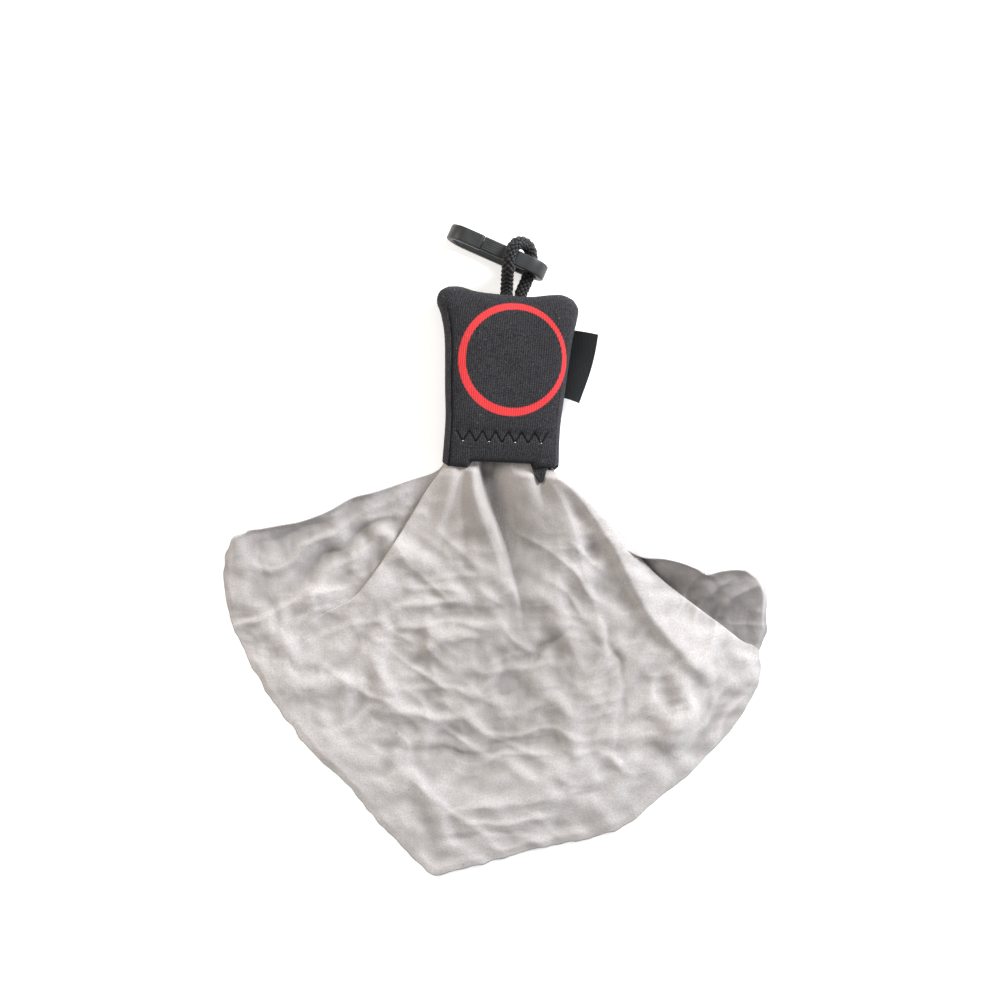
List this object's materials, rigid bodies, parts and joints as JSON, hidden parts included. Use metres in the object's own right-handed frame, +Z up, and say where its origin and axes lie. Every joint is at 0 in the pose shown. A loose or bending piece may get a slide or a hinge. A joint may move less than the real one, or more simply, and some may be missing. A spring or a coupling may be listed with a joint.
{
  "type": "cleaning cloth in a pouch",
  "caption": "Microfibre cleaning cloth sewn into a small padded neoprene pouch, with a braided cord loop and a plastic clip hook for hanging it on a bag.",
  "frame": {"origin": "centre of the pouch's flat underside, on the surface that the object lies on", "axes": "+X across the pouch towards the side label, +Y along the pouch from its mouth to the cord, +Z up from the surface"},
  "size_m": [0.2015, 0.2389, 0.0182],
  "materials": {
    "neoprene_front": "knit-faced neoprene",
    "neoprene_back": "knit-faced neoprene",
    "red_print": "matt print",
    "thread": "sewing thread",
    "label_ribbon": "woven",
    "cord": "braided",
    "clip_plastic": "satin",
    "cloth": "microfibre"
  },
  "bodies": {
    "pouch": {"back_panel": "neoprene_back", "front_panel": "neoprene_front", "printed_ring": "red_print", "left_seam_thread": "thread", "right_seam_thread": "thread", "top_seam_thread": "thread", "front_hem_zigzag": "thread", "back_hem_zigzag": "thread", "cord_tails": "cord", "cord_bartack": "thread", "cloth_gather": "cloth", "cloth_bartack": "thread"},
    "cord": {"cord_loop": "cord"},
    "clip": {"clip_body": "clip_plastic"},
    "gate": {"clip_gate": "clip_plastic"},
    "label": {"side_label": "label_ribbon"},
    "cloth": {"cloth_sheet": "cloth"}
  },
  "joints": [
    {"name": "cord_flex", "type": "hinge", "parent": "pouch", "child": "cord", "pos_m": [-0.0006, 0.0296, 0.007], "axis": [1, 0, 0], "range_deg": [-60, 60], "deforming": ["cord_loop"]},
    {"name": "clip_swing", "type": "hinge", "parent": "cord", "child": "clip", "pos_m": [0.00368, 0.04028, 0.0117], "axis": [-0.9455, 0.3256, 0], "range_deg": [-25, 25]},
    {"name": "gate_flex", "type": "hinge", "parent": "clip", "child": "gate", "pos_m": [-0.00256, 0.04243, 0.0117], "axis": [-0.3256, -0.9455, 0], "range_deg": [0, 18], "stiffness_Nm_per_rad": 0.05},
    {"name": "cloth_flap", "type": "hinge", "parent": "pouch", "child": "cloth", "pos_m": [0, -0.0364, 0.0028], "axis": [-1, 0, 0], "range_deg": [-45, 60]},
    {"name": "label_flex", "type": "hinge", "parent": "pouch", "child": "label", "pos_m": [0.02345, 0.00575, 0.007], "axis": [0.0611, 0.9981, 0], "range_deg": [-50, 50], "stiffness_Nm_per_rad": 0.002}
  ]
}
